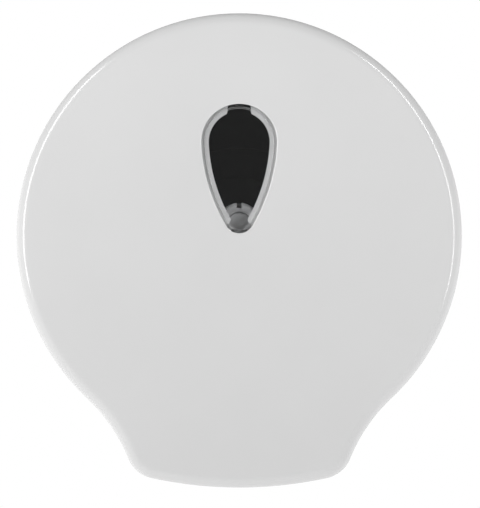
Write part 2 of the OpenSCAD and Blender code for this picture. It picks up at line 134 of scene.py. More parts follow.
@dataclass(frozen=True)
class Outline:
    """A closed outline, the same left and right, given by its right half from bottom to top."""

    arcs: tuple[Arc, ...]
    flatness: float = 0.006 * MM

    def draw(self, bm: Mesh, inset: float, level: float) -> Loop:
        """Draws the outline as a loop of edges.

        Args:
            bm: Mesh to draw in.
            inset: How far inside the outline the loop lies.
            level: Distance of the loop from the wall.

        Returns:
            The edges of the loop.
        """
        sketch = bmesh.new()
        first = self.arcs[0]
        begin = first.centre + polar(first.radius - inset, first.start)
        tip = sketch.verts.new((begin.x, -level, begin.y))
        for arc in self.arcs:
            sweep = math.radians(arc.end - arc.start)
            step = 2 * math.acos(1 - self.flatness / arc.radius)
            spun = bmesh.ops.spin(
                sketch, geom=[tip], cent=(arc.centre.x, -level, arc.centre.y), axis=FACING,
                dvec=(0, 0, 0), angle=sweep, steps=max(2, math.ceil(abs(sweep) / step)),
                use_merge=False, use_normal_flip=False, use_duplicate=False,
            )
            tip = next(v for v in spun["geom_last"] if isinstance(v, bmesh.types.BMVert))
        half = sketch.verts[:] + sketch.edges[:]
        bmesh.ops.mirror(sketch, geom=half, matrix=Matrix.Identity(4), merge_dist=WELD, axis="X")
        before = set(bm.edges)
        pour(sketch, bm)
        return [e for e in bm.edges if e not in before]


@dataclass(frozen=True)
class BodyShape:
    """Shape of the cover from the front: foot, lower corner, hollow flank and round body."""

    chin_angle: float = 46.8
    waist: float = 133 * MM
    foot: float = 318 * MM
    corner: float = 25 * MM

    def outline(self, low: Vector, high: Vector) -> Outline:
        """Works out the outline from the cover's box.

        Args:
            low: Lowest corner of the cover.
            high: Highest corner of the cover.

        Returns:
            The outline.
        """
        radius = (high.x - low.x) / 2
        middle = Vector((0.0, high.z - radius))
        waist = middle + polar(radius + self.waist, -self.chin_angle)
        foot = Vector((0.0, low.z + self.foot))
        corner = circles_meet(waist, self.waist + self.corner, foot, self.foot - self.corner)
        waist_end = bearing(waist, corner) % 360
        foot_end = bearing(foot, corner)
        return Outline((
            Arc(foot, self.foot, -90.0, foot_end),
            Arc(corner, self.corner, foot_end, waist_end - 180),
            Arc(waist, self.waist, waist_end, 180 - self.chin_angle),
            Arc(middle, radius, -self.chin_angle, 90.0),
        ))


@dataclass(frozen=True)
class WindowShape:
    """Shape of the drop-shaped window from the front, measured from the hub's axis."""

    head: float = 29.4 * MM
    tip: float = 11.8 * MM
    side: float = 136 * MM
    rise: float = 62.6 * MM
    length: float = 58.8 * MM

    def outline(self) -> Outline:
        """Works out the outline.

        Returns:
            The outline: tip, side and head.
        """
        head = Vector((0.0, self.rise))
        tip = Vector((0.0, self.rise - self.length))
        side = circles_meet(tip, self.side - self.tip, head, self.side - self.head)
        low_end, high_end = bearing(side, tip), bearing(side, head)
        return Outline((
            Arc(tip, self.tip, -90.0, low_end),
            Arc(side, self.side, low_end, high_end),
            Arc(head, self.head, high_end, 90.0),
        ))


def quarter(centre: Pair, radius: float, start: float, end: float, steps: int) -> Path:
    """Draws an arc of a section.

    Args:
        centre: Centre of the arc, as (inset, level).
        radius: Its radius.
        start: Angle of its first point.
        end: Angle of its last point.
        steps: Number of steps between them.

    Returns:
        The points, as (inset, level).
    """
    turns = [start + (end - start) * i / steps for i in range(steps + 1)]
    return [(centre[0] + polar(radius, a).x, centre[1] + polar(radius, a).y) for a in turns]


def loft(bm: Mesh, outline: Outline, path: Path, closed: bool = False) -> list[Loop]:
    """Skins an outline along a section.

    Args:
        bm: Mesh to add to.
        outline: Outline that every loop follows.
        path: Section, as (inset, level).
        closed: Whether the last loop joins the first.

    Returns:
        The loops of edges, in the order of the path.
    """
    loops = [outline.draw(bm, inset, level) for inset, level in path]
    for lower, upper in zip(loops, loops[1:] + loops[:1] if closed else loops[1:]):
        bmesh.ops.bridge_loops(bm, edges=lower + upper)
    return loops


def fill(bm: Mesh, *loops: Loop) -> None:
    """Closes the flat area between loops."""
    edges = [e for loop in loops for e in loop]
    bmesh.ops.triangle_fill(bm, use_beauty=True, use_dissolve=False, edges=edges, normal=FACING)


# ---------- mesh helpers


def spin_section(bm: Mesh, section: Path, steps: int, closed: bool = True) -> None:
    """Turns a section a full turn about the hub's axis.

    Args:
        bm: Mesh to add to.
        section: Points as (radius, level).
        steps: Steps in the full turn.
        closed: Whether the last point joins the first.
    """
    verts = [bm.verts.new((radius, -level, 0)) for radius, level in section]
    following = verts[1:] + verts[:1] if closed else verts[1:]
    edges = [bm.edges.new(pair) for pair in zip(verts, following)]
    bmesh.ops.spin(
        bm, geom=verts + edges, cent=(0, 0, 0), axis=FACING, dvec=(0, 0, 0), angle=math.tau,
        steps=steps, use_merge=True, use_normal_flip=False, use_duplicate=False,
    )
    bmesh.ops.remove_doubles(bm, verts=bm.verts, dist=FINE_WELD)


def block(low: Point, high: Point) -> Mesh:
    """Makes a box.

    Args:
        low: Lowest corner.
        high: Highest corner.

    Returns:
        The mesh.
    """
    bm = bmesh.new()
    centre = [(a + b) / 2 for a, b in zip(low, high)]
    size = [b - a for a, b in zip(low, high)]
    matrix = Matrix.Translation(centre) @ Matrix.Diagonal((*size, 1.0))
    bmesh.ops.create_cube(bm, size=1.0, matrix=matrix)
    return bm


def wedge(low: Point, high: Point, half_foot: float, half_top: float) -> Mesh:
    """Makes a box whose width changes from its foot to its top.

    Args:
        low: Lowest corner. Its x isn't used.
        high: Highest corner. Its x isn't used.
        half_foot: Half of the width at the foot.
        half_top: Half of the width at the top.

    Returns:
        The mesh.
    """
    bm = block((-half_foot, *low[1:]), (half_foot, *high[1:]))
    top = [v for v in bm.verts if v.co.z > (low[2] + high[2]) / 2]
    bmesh.ops.scale(bm, vec=(half_top / half_foot, 1, 1), verts=top)
    return bm


def rod(foot: Vector, axis: Vector, radius: float, length: float, segments: int = 64) -> Mesh:
    """Makes a round bar.

    Args:
        foot: Centre of its first end.
        axis: Direction in which it runs.
        radius: Its radius.
        length: Its length.
        segments: Number of its sides.

    Returns:
        The mesh.
    """
    bm = bmesh.new()
    turn = UP.rotation_difference(axis).to_matrix().to_4x4()
    matrix = Matrix.Translation(foot + axis.normalized() * length / 2) @ turn
    bmesh.ops.create_cone(
        bm, cap_ends=True, cap_tris=False, segments=segments, radius1=radius, radius2=radius,
        depth=length, matrix=matrix,
    )
    return bm


def round_off(bm: Mesh, edges: Loop, radius: float, segments: int) -> None:
    """Rounds edges.

    Args:
        bm: Mesh that they are in.
        edges: The edges.
        radius: Radius of the round.
        segments: Number of faces across it.
    """
    bmesh.ops.bevel(
        bm, geom=edges, offset=radius, offset_type="OFFSET", segments=segments, profile=0.5,
        affect="EDGES", clamp_overlap=True, material=-1,
    )


def soften(bm: Mesh, radius: float, segments: int = 2, sharp: float = 40.0) -> None:
    """Rounds every sharp edge of a mesh.

    Args:
        bm: The mesh.
        radius: Radius of the round.
        segments: Number of faces across it.
        sharp: Angle between faces from which an edge is sharp.
    """
    limit = math.radians(sharp)
    paired = [e for e in bm.edges if len(e.link_faces) == 2]
    round_off(bm, [e for e in paired if e.calc_face_angle(0.0) > limit], radius, segments)


def to_object(name: str, *parts: Mesh, smooth: float = 32.0) -> bpy.types.Object:
    """Makes one object of finished meshes.

    Args:
        name: Name of the new object.
        parts: Meshes that make it up. They are freed.
        smooth: Angle up to which faces are shaded as one surface.

    Returns:
        The new object, in the scene.
    """
    whole = bmesh.new()
    for part in parts:
        bmesh.ops.remove_doubles(part, verts=part.verts, dist=WELD)
        bmesh.ops.dissolve_degenerate(part, edges=part.edges, dist=WELD)
        bmesh.ops.recalc_face_normals(part, faces=part.faces)
        pour(part, whole)
    mesh = bpy.data.meshes.new(name)
    whole.to_mesh(mesh)
    whole.free()
    mesh.shade_smooth()
    mesh.set_sharp_from_angle(angle=math.radians(smooth))
    piece = bpy.data.objects.new(name, mesh)
    bpy.context.scene.collection.objects.link(piece)
    return piece


def carve(body: Mesh, *tools: Mesh) -> Mesh:
    """Cuts tools out of a closed mesh.

    Args:
        body: Mesh to cut. It is freed.
        tools: Closed meshes to take away. They are freed.

    Returns:
        The cut mesh.
    """
    blank = to_object("blank", body)
    cutters = [to_object("cutter", tool) for tool in tools]
    for cutter in cutters:
        cut = blank.modifiers.new("cut", "BOOLEAN")
        cut.operation, cut.solver, cut.object = "DIFFERENCE", "EXACT", cutter
    done = bmesh.new()
    done.from_object(blank, bpy.context.evaluated_depsgraph_get())
    for spare in [blank, *cutters]:
        mesh = spare.data
        bpy.data.objects.remove(spare)
        bpy.data.meshes.remove(mesh)
    return done


# ---------- nodes


class Mixing(Enum):
    """What a Mix node mixes: its data type, and the places of its two inputs and its output."""

    NUMBERS = ("FLOAT", 2, 3, 0)
    COLOURS = ("RGBA", 6, 7, 2)


@dataclass
class Recipe:
    """The nodes of a material, group or world, with short calls to add and join them."""

    tree: bpy.types.NodeTree
    fresh: bool = True

    def __post_init__(self) -> None:
        """Empties the tree if it is to be fresh."""
        if self.fresh:
            self.tree.nodes.clear()

    def add(self, kind: str, **values: object) -> bpy.types.Node:
        """Adds a node.

        Args:
            kind: The node's type, without its prefix.
            values: Its values, as feed takes them.

        Returns:
            The new node.
        """
        node = self.tree.nodes.new(kind if kind.startswith("Node") else "ShaderNode" + kind)
        self.feed(node, **values)
        return node

    def feed(self, node: bpy.types.Node, **values: object) -> None:
        """Gives a node its values.

        Args:
            node: The node.
            values: Properties, or inputs where the name starts with a capital, with _ for a space.
        """
        for name, value in values.items():
            if name[0].isupper():
                self.give(value, node.inputs[name.replace("_", " ")])
            else:
                setattr(node, name, value)

    def give(self, value: Value, target: Socket) -> None:
        """Gives a socket its value.

        Args:
            value: Socket to join to it, or number or colour to write in it.
            target: The socket.
        """
        if isinstance(value, Socket):
            self.tree.links.new(value, target)
        else:
            target.default_value = value

    def sum(self, operation: str, a: Number, b: Number, **settings: object) -> Socket:
        """Adds a sum of two numbers.

        Args:
            operation: The Math node's operation.
            a: First number.
            b: Second number.
            settings: Other properties of the node.

        Returns:
            The result.
        """
        node = self.add("Math", operation=operation, **settings)
        self.give(a, node.inputs[0])
        self.give(b, node.inputs[1])
        return node.outputs[0]

    def chain(self, operation: str, numbers: list[Number]) -> Socket:
        """Returns numbers taken together by one operation, from first to last."""
        return functools.reduce(functools.partial(self.sum, operation), numbers)

    def mix(self, kind: Mixing, share: Number, a: Value, b: Value) -> Socket:
        """Mixes two numbers or colours.

        Args:
            kind: Which of them are mixed.
            share: 0 for a alone, 1 for b alone.
            a: First number or colour.
            b: Second number or colour.

        Returns:
            The mixture.
        """
        data_type, first, second, result = kind.value
        node = self.add("Mix", data_type=data_type)
        for value, socket in zip((share, a, b), (0, first, second)):
            self.give(value, node.inputs[socket])
        return node.outputs[result]

    def span(self, value: Socket, start: float, end: float, first: float, last: float) -> Socket:
        """Maps a number onto another span.

        Args:
            value: The number.
            start: Its value where the result is first.
            end: Its value where the result is last.
            first: Result at the start and before it.
            last: Result at the end and beyond it.

        Returns:
            The result.
        """
        ends = {"From_Min": start, "From_Max": end, "To_Min": first, "To_Max": last}
        return self.add("MapRange", Value=value, **ends).outputs[0]

    def swing(self, noise: Socket) -> Socket:
        """Returns a noise stretched to run from -1 to 1."""
        return self.span(noise, 0.3, 0.7, -1.0, 1.0)


def mould_grain() -> bpy.types.NodeTree:
    """Builds the shared effect of a grained skin: fine unevenness and slow changes of gloss.

    Returns:
        The node group. It is built once.
    """
    name = "mould grain"
    if name in bpy.data.node_groups:
        return bpy.data.node_groups[name]
    tree = bpy.data.node_groups.new(name, "ShaderNodeTree")
    for way, kind, labels in (
        ("INPUT", "Vector", ("Vector",)),
        ("INPUT", "Float", ("Grain size", "Roughness", "Change")),
        ("OUTPUT", "Float", ("Height", "Roughness", "Drift")),
    ):
        for label in labels:
            tree.interface.new_socket(name=label, in_out=way, socket_type="NodeSocket" + kind)
    recipe = Recipe(tree)
    given = recipe.add("NodeGroupInput").outputs
    scale = recipe.sum("DIVIDE", 1.0, given["Grain size"])
    fine = recipe.add("TexNoise", Vector=given["Vector"], Scale=scale, Detail=3.0, Roughness=0.6)
    slow = recipe.add("TexNoise", Vector=given["Vector"], Scale=14.0, Detail=4.0, Roughness=0.55)
    drift = recipe.swing(slow.outputs["Fac"])
    gain = recipe.sum("ADD", 1.0, recipe.sum("MULTIPLY", drift, given["Change"]))
    rough = recipe.sum("MULTIPLY", given["Roughness"], gain)
    recipe.add("NodeGroupOutput", Height=fine.outputs["Fac"], Roughness=rough, Drift=drift)
    return tree


# ---------- finishes


class Lay(Enum):
    """Direction in which a metal is brushed, as the stretch of its scratches along each axis."""

    ALONG_Y = (1.0, 0.04, 1.0)
    NONE = (1.0, 1.0, 1.0)


@dataclass(frozen=True)
class Finish:
    """What every finish has."""

    name: str
    colour: Colour

    def material(self) -> Material:
        """Builds the material, in each kind of finish in its own way."""
        raise NotImplementedError

    def start(self) -> tuple[Material, Recipe, bpy.types.Node, Socket]:
        """Starts the material.

        Returns:
            The material, its recipe, its shader and the piece's own coordinates.
        """
        material = bpy.data.materials.new(self.name)
        material.use_nodes = True
        material.diffuse_color = (*self.colour, 1.0)
        recipe = Recipe(material.node_tree)
        shader = recipe.add("BsdfPrincipled", Base_Color=(*self.colour, 1.0))
        recipe.add("OutputMaterial", Surface=shader.outputs[0])
        return material, recipe, shader, recipe.add("TexCoord").outputs["Object"]

    def varied(self, recipe: Recipe, drift: Socket, tint: float) -> Socket:
        """Makes the colour a little uneven.

        Args:
            recipe: Recipe of the material.
            drift: Where the colour is darker, -1, and lighter, 1.
            tint: Share by which it changes each way.

        Returns:
            The uneven colour.
        """
        share = recipe.span(drift, -1.0, 1.0, 0.0, 1.0)
        darker, lighter = (
            (*(min(1.0, part * (1 + change)) for part in self.colour), 1.0)
            for change in (-tint, tint)
        )
        return recipe.mix(Mixing.COLOURS, share, darker, lighter)


@dataclass(frozen=True)
class Grained(Finish):
    """A finish with a grained skin."""

    roughness: float
    grain: float = 0.5 * MM
    depth: float = 0.01 * MM
    change: float = 0.12
    tint: float = 0.03

    def skin(self, recipe: Recipe, shader: bpy.types.Node, at: Socket) -> None:
        """Gives the shader its skin.

        Args:
            recipe: Recipe of the material.
            shader: Its shader.
            at: Coordinates that the grain follows.
        """
        skin = recipe.add(
            "Group", node_tree=mould_grain(), Vector=at, Grain_size=self.grain,
            Roughness=self.roughness, Change=self.change,
        ).outputs
        bump = recipe.add("Bump", Strength=1.0, Distance=self.depth, Height=skin["Height"])
        colour = self.varied(recipe, skin["Drift"], self.tint)
        recipe.feed(
            shader, Base_Color=colour, Roughness=skin["Roughness"], Normal=bump.outputs[0],
        )


@dataclass(frozen=True)
class Moulding(Grained):
    """A moulded plastic."""

    def material(self) -> Material:
        """Builds a fine skin with slow changes of gloss and a trace of uneven colour.

        Returns:
            The material.
        """
        material, recipe, shader, at = self.start()
        self.skin(recipe, shader, at)
        return material


@dataclass(frozen=True)
class Metal(Grained):
    """A bare or plated metal."""

    grain: float = 0.25 * MM
    depth: float = 0.008 * MM
    change: float = 0.3
    tint: float = 0.08
    lay: Lay = Lay.NONE

    def material(self) -> Material:
        """Builds a metal whose scratches run along its lay.

        Returns:
            The material.
        """
        material, recipe, shader, at = self.start()
        recipe.feed(shader, Metallic=1.0)
        brushed = recipe.add("Mapping", Vector=at, Scale=self.lay.value)
        self.skin(recipe, shader, brushed.outputs[0])
        return material


@dataclass(frozen=True)
class Clear(Grained):
    """A clear moulded plastic."""

    grain: float = 12 * MM
    depth: float = 0.02 * MM
    change: float = 0.5
    tint: float = 0.01
    refraction: float = 1.49

    def material(self) -> Material:
        """Builds a clear plastic with faint waves from its mould, which lets lamplight through.

        Returns:
            The material.
        """
        material, recipe, shader, at = self.start()
        colour = (*(math.sqrt(part) for part in self.colour), 1.0)
        through = recipe.add("BsdfTransparent", Color=colour)
        either = recipe.add("MixShader")
        shadow = recipe.add("LightPath").outputs["Is Shadow Ray"]
        for source, target in zip((shadow, shader.outputs[0], through.outputs[0]), either.inputs):
            recipe.give(source, target)
        recipe.feed(recipe.tree.nodes["Material Output"], Surface=either.outputs[0])
        recipe.feed(shader, Transmission_Weight=1.0, IOR=self.refraction)
        self.skin(recipe, shader, at)
        return material


@dataclass(frozen=True)
class Felt(Finish):
    """Pressed felt."""

    fibre: float = 0.35 * MM
    depth: float = 0.15 * MM
    tint: float = 0.35
    roughness: float = 0.95
    sheen: float = 0.4

    def material(self) -> Material:
        """Builds pressed felt with tangled fibres.

        Returns:
            The material.
        """
        material, recipe, shader, at = self.start()
        tangle = recipe.add(
            "TexNoise", Vector=at, Scale=1 / self.fibre, Detail=6.0, Distortion=1.5,
        ).outputs["Fac"]
        bump = recipe.add("Bump", Strength=1.0, Distance=self.depth, Height=tangle)
        colour = self.varied(recipe, recipe.swing(tangle), self.tint)
        recipe.feed(shader, Base_Color=colour, Normal=bump.outputs[0])
        recipe.feed(shader, Roughness=self.roughness, Sheen_Weight=self.sheen)
        return material


WHITE_COVER = Moulding(
    "white cover", (0.704, 0.704, 0.704), 0.13, grain=0.9 * MM, depth=0.004 * MM, tint=0.01,
)
BLACK_PLATE = Moulding("black back plate", (0.016, 0.017, 0.018), 0.42, depth=0.03 * MM)
BLACK_DISC = Moulding("black hub disc", (0.018, 0.019, 0.02), 0.45, depth=0.03 * MM)
GREY_POST = Moulding("light grey post", (0.76, 0.765, 0.77), 0.45)
GREY_HUB = Moulding("light grey hub", (0.64, 0.645, 0.65), 0.4)
CLEAR_LENS = Clear("clear lens", (0.738, 0.74, 0.742), 0.03)
DARK_FELT = Felt("dark felt", (0.05, 0.05, 0.052))
STRIP_STEEL = Metal("strip steel", (0.46, 0.46, 0.45), 0.3, lay=Lay.ALONG_Y)
ZINC = Metal("zinc plated steel", (0.6, 0.62, 0.64), 0.34)
YELLOW_ZINC = Metal("yellow zinc plated steel", (0.62, 0.55, 0.33), 0.32)
NICKEL = Metal("nickel plate", (0.66, 0.64, 0.6), 0.18)
PALE_FLOOR = Moulding("pale floor", (0.8, 0.8, 0.8), 0.7, grain=3 * MM, depth=0.02 * MM)

NODE_FINISHES: dict[str, Finish] = {
    "back_plate": BLACK_PLATE,
    "spindle_post": GREY_POST,
    "spindle_screws": ZINC,
    "brake_washer": DARK_FELT,
    "hinge_pin_left": ZINC,
    "hinge_pin_right": ZINC,
    "latch_keeper": ZINC,
    "keeper_screws": ZINC,
    "tear_strip_left": STRIP_STEEL,
    "tear_strip_right": STRIP_STEEL,
    "lock_housing": NICKEL,
    "lock_washer": YELLOW_ZINC,
    "lock_nut": YELLOW_ZINC,
    "lock_plug": NICKEL,
    "lock_cam": YELLOW_ZINC,
    "cam_screw": ZINC,
}


def dress(piece: bpy.types.Object, finish: Finish) -> None:
    """Gives a piece its only material.

    Args:
        piece: The piece.
        finish: Its finish, whose material is built when it is first used.
    """
    piece.data.materials.clear()
    found = bpy.data.materials.get(finish.name)
    piece.data.materials.append(found or finish.material())


def dress_node(name: str, finish: Finish) -> None:
    """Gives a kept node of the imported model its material."""
    dress(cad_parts[name], finish)
    log.info("%s: %s", name, finish.name)


def place(piece: bpy.types.Object, body: str, slot: str, finish: Finish, *stands_for: str) -> None:
    """Dresses a new piece, hangs it under its body and hides the nodes that it replaces.

    Args:
        piece: The piece.
        body: Body that it moves with.
        slot: Not used.
        finish: Its finish.
        stands_for: Nodes that it replaces.
    """
    dress(piece, finish)
    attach(piece, body)
    if stands_for:
        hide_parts(*stands_for)
    log.info("%s: %d faces, %s", piece.name, len(piece.data.polygons), finish.name)


# ---------- sub-assemblies


@dataclass
class Cover:
    """The white cover: one moulding with a rounded front edge and a drop-shaped window."""

    wall: float = 3 * MM
    edge: float = 9 * MM
    edge_steps: int = 12
    rear_gap: float = 3 * MM
    rear_steps: int = 8
    shade_ring: float = 0.4 * MM
    rim: float = 0.8 * MM
    draft: float = 0.02 * MM
    window_edge: float = 1.2 * MM
    window_edge_turn: float = 30.0
    window_edge_steps: int = 6
    window_lip: float = 0.15 * MM
    window_lip_turn: float = 45.0
    window_lip_steps: int = 3
    collar: float = 2.5 * MM
    ledge: float = 5.8 * MM
    ledge_foot: float = 124.5 * MM
    ledge_top: float = 126.7 * MM
    channel: float = 2.9 * MM
    channel_slope: float = 0.3 * MM
    channel_depth: float = 0.45 * MM
    thread: Pair = (3.3 * MM, 3.5 * MM)
    thread_drop: float = 1.3 * MM
    thread_height: float = 0.3 * MM
    # Half widths of each gap at its lower and upper end, then how far in each gap reaches.
    hook_gap_top: Pair = (9.6 * MM, 7.7 * MM)
    hook_gap_foot: Pair = (14.0 * MM, 5.6 * MM)
    hook_gap_reach: Pair = (8.9 * MM, 11.9 * MM)
    exit_half: float = 58.07 * MM
    exit_lip: float = 12 * MM
    exit_top: float = 193.5 * MM
    lug: float = 5 * MM
    lug_foot_height: float = -198.5 * MM
    lug_web: float = 2.6 * MM
    hinge_out: float = 14 * MM
    hinge_height: float = -194 * MM
    knuckle: float = 4.5 * MM
    pin: float = 2.05 * MM
    pin_sides: int = 32
    lock_out: float = 30 * MM
    lock_seat: float = 160.7 * MM
    lock_hole: float = 8.05 * MM
    lock_flange: float = 11.4 * MM
    pad: float = 14 * MM
    pad_foot: float = 156 * MM
    pad_drop: float = 0.2 * MM
    pad_round: float = 0.5 * MM
    stake_x: float = 62.27 * MM
    stake: float = 1.5 * MM
    stake_length: float = 2.75 * MM
    stake_sides: int = 48
    stake_head: float = 2.8 * MM
    stake_head_height: float = 1.2 * MM
    stake_head_seat: float = 0.15 * MM
    stake_head_dome: float = 0.9
    stake_levels: Pair = (40.4 * MM, 97.1 * MM)
    low: Vector = field(default_factory=lambda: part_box("front_cover")[0])
    high: Vector = field(default_factory=lambda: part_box("front_cover")[1])

    def __post_init__(self) -> None:
        """Works out the outlines and levels."""
        self.depth = -self.low.y
        self.inner_front = self.depth - self.wall
        self.body = BodyShape().outline(self.low, self.high)
        self.window = WindowShape().outline()

    def shell(self) -> Mesh:
        """Builds the hollow shell with its window opening.

        Returns:
            The mesh.
        """
        bm = bmesh.new()
        turn = (self.edge, self.depth - self.edge)
        lip = (self.wall / 2, self.rear_gap + self.wall / 2)
        outer = loft(bm, self.body, [
            (self.edge + self.shade_ring, self.depth + self.draft),
            *quarter(turn, self.edge, 90, 180, self.edge_steps),
            *quarter(lip, self.wall / 2, 180, 360, self.rear_steps),
            *quarter(turn, self.edge - self.wall, 180, 90, self.rear_steps),
            (self.edge + self.shade_ring, self.inner_front - self.draft),
        ])
        slant = 90 - self.window_edge_turn
        edge = self.window_edge / math.sin(math.radians(self.window_edge_turn))
        edge_centre = (-self.window_edge, self.depth - edge)
        throat = quarter(edge_centre, edge, 90, slant, self.window_edge_steps)
        lip_centre = (-self.window_lip, throat[-1][1] - self.window_lip)
        opening = loft(bm, self.window, [
            (-self.window_edge - self.shade_ring, self.depth + self.draft),
            *throat,
            *quarter(lip_centre, self.window_lip, self.window_lip_turn, 0, self.window_lip_steps),
            (0.0, self.inner_front - self.draft),
        ])
        fill(bm, outer[0], opening[0])
        fill(bm, outer[-1], opening[-1])
        return bm

    def exit_tool(self) -> Mesh:
        """Returns the block that opens the foot for the paper."""
        low = (-self.exit_half, -self.depth + self.exit_lip, self.low.z - self.edge)
        return block(low, (self.exit_half, self.rear_gap, -self.exit_top))

    def lock_tools(self) -> list[Mesh]:
        """Makes the tools that sink the lock into the top.

        Returns:
            The round bars for its flange and its barrel.
        """
        seat = Vector((0, -self.lock_out, self.lock_seat))
        return [
            rod(seat, UP, self.lock_flange, self.edge),
            rod(seat - UP * self.edge, UP, self.lock_hole, 2 * self.edge),
        ]

    def window_ledge(self) -> Mesh:
        """Builds the collar and ledge behind the lens, open where the lens hooks pass.

        Returns:
            The mesh.
        """
        bm = bmesh.new()
        rim = self.inner_front + self.rim
        channel = self.ledge_top - self.channel_depth
        loft(bm, self.window, [
            (-self.collar, rim),
            (-self.collar, self.ledge_foot),
            (self.ledge, self.ledge_foot + self.draft),
            (self.ledge, self.ledge_top),
            (self.channel, self.ledge_top + self.draft),
            (self.channel - self.channel_slope, channel),
            (0.0, channel + self.draft),
            (0.0, rim + self.draft),
        ], closed=True)
        bmesh.ops.recalc_face_normals(bm, faces=bm.faces)
        head, tip = self.window.arcs[-1], self.window.arcs[0]
        top, foot = head.centre.y + head.radius, tip.centre.y - tip.radius
        beyond = self.collar + OVERRUN
        front, rear = -self.depth, -self.ledge_foot + self.rim
        top_reach, foot_reach = self.hook_gap_reach
        return carve(
            bm,
            wedge((0, front, top - top_reach), (0, rear, top + beyond), *self.hook_gap_top),
            wedge((0, front, foot - beyond), (0, rear, foot + foot_reach), *self.hook_gap_foot),
        )

    def ledge_thread(self) -> Mesh:
        """Builds the thin rib that runs on across the gaps in the ledge.

        Returns:
            The mesh.
        """
        bm = bmesh.new()
        near, far = self.thread
        top = self.ledge_top - self.thread_drop
        foot = top - self.thread_height
        loft(bm, self.window, [
            (near, foot), (far, foot + self.draft), (far, top), (near, top + self.draft),
        ], closed=True)
        return bm

    def hinge_lug(self, side: int) -> list[Mesh]:
        """Makes a bored hinge lug.

        Args:
            side: -1 on the left, 1 on the right.

        Returns:
            The lug and the web that joins it to the foot.
        """
        left, right = sorted((side * self.exit_half, side * (self.exit_half + self.lug)))
        eye = Vector((left, -self.hinge_out, self.hinge_height))
        bore = self.lug + 2 * OVERRUN
        tool = rod(eye - RIGHT * OVERRUN, RIGHT, self.pin, bore, self.pin_sides)
        web = block(
            (left, -self.hinge_out - self.knuckle, self.lug_foot_height),
            (right, -self.hinge_out + self.knuckle, self.hinge_height - self.lug_web),
        )
        return [carve(rod(eye, RIGHT, self.knuckle, self.lug), tool), web]

    def lock_pad(self) -> Mesh:
        """Makes the thick round seat under the lock.

        Returns:
            The mesh.
        """
        foot = Vector((0, -self.lock_out, self.pad_foot))
        pad = rod(foot, UP, self.pad, self.lock_seat - self.pad_foot - self.pad_drop)
        soften(pad, self.pad_round)
        return carve(pad, rod(foot - UP * OVERRUN, UP, self.lock_hole, self.edge))

    def stakes(self, side: int) -> list[Mesh]:
        """Makes the stakes with domed heads that hold a tear strip.

        Args:
            side: -1 on the left, 1 on the right.

        Returns:
            The meshes.
        """
        foot = self.body.arcs[0]
        turn = math.asin(self.stake_x / foot.radius)
        inward = Vector((-side * math.sin(turn), 0, math.cos(turn)))
        parts = []
        for level in self.stake_levels:
            centre = Vector((foot.centre.x, -level, foot.centre.y))
            root = centre - inward * (foot.radius - self.wall / 2)
            seat = root + inward * (self.stake_length - self.stake_head_seat)
            head = rod(seat, inward, self.stake_head, self.stake_head_height, self.stake_sides)
            soften(head, self.stake_head_dome * self.stake_head_height, segments=4)
            parts += [rod(root, inward, self.stake, self.stake_length, self.stake_sides), head]
        return parts

    def build(self) -> None:
        """Builds the cover."""
        shell = carve(self.shell(), self.exit_tool(), *self.lock_tools())
        parts = [shell, self.window_ledge(), self.ledge_thread(), self.lock_pad()]
        for side in (-1, 1):
            parts += self.hinge_lug(side) + self.stakes(side)
        cover = to_object("cover", *parts)
        place(cover, "cover", "cover_white", WHITE_COVER, "front_cover")


@dataclass
class Lens:
    """The clear lens with its bevelled edge and two snap hooks."""

    foot: float = 126.85 * MM
    thickness: float = 3 * MM
    slack: float = 0.15 * MM
    shade_ring: float = Cover.shade_ring
    draft: float = Cover.draft
    crown: float = 0.005 * MM
    bevel: float = 2.6 * MM
    bevel_depth: float = 1.9 * MM
    bevel_fillet: float = 0.5 * MM
    bevel_steps: int = 5
    hook_half: float = 5.5 * MM
    hook_foot: float = 122.55 * MM
    leg: float = 1.8 * MM
    barb: float = 1.2 * MM
    smooth: float = 20.0

    def hook(self, arc: Arc, direction: int) -> Mesh:
        """Builds a snap hook.

        Args:
            arc: Round end of the window beside it.
            direction: 1 at the top and -1 at the bottom.

        Returns:
            The hook.
        """
        reach = math.sqrt(arc.radius**2 - self.hook_half**2) - 2 * self.slack
        near = arc.centre.y + direction * (reach - self.leg)
        far = arc.centre.y + direction * reach
        tip = arc.centre.y + direction * (arc.radius + self.barb)
        hook = block(
            (-self.hook_half, -self.foot, min(near, far)),
            (self.hook_half, -self.hook_foot, max(near, far)),
        )
        knee = -self.hook_foot - self.leg
        bmesh.ops.bisect_plane(
            hook, geom=hook.verts[:] + hook.edges[:] + hook.faces[:], dist=FINE_WELD,
            plane_co=(0, knee, 0), plane_no=FACING,
        )
        middles = {f: f.calc_center_median() for f in hook.faces}
        barb = [f for f, at in middles.items() if abs(at.z - far) < WELD and at.y > knee]
        pushed = bmesh.ops.extrude_face_region(hook, geom=barb)
        verts = [v for v in pushed["geom"] if isinstance(v, bmesh.types.BMVert)]
        bmesh.ops.translate(hook, verts=verts, vec=(0, 0, tip - far))
        bmesh.ops.delete(hook, geom=barb, context="FACES")
        return hook

    def build(self) -> None:
        """Builds the lens."""
        outline = WindowShape().outline()
        top = self.foot + self.thickness
        slope = math.degrees(math.atan2(self.bevel_depth, self.bevel))
        reach = self.bevel_fillet * math.tan(math.radians(slope / 2))
        turn = (self.slack + self.bevel + reach, top - self.bevel_fillet)
        bm = bmesh.new()
        loops = loft(bm, outline, [
            (self.slack + self.shade_ring, self.foot),
            (self.slack, self.foot + self.draft),
            (self.slack, top - self.bevel_depth),
            *quarter(turn, self.bevel_fillet, 90 + slope, 90, self.bevel_steps),
            (turn[0] + self.shade_ring, top + self.crown),
        ])
        fill(bm, loops[0])
        fill(bm, loops[-1])
        hooks = [self.hook(outline.arcs[-1], 1), self.hook(outline.arcs[0], -1)]
        lens = to_object("lens", bm, *hooks, smooth=self.smooth)
        place(lens, "cover", "lens_clear", CLEAR_LENS, "window_lens")


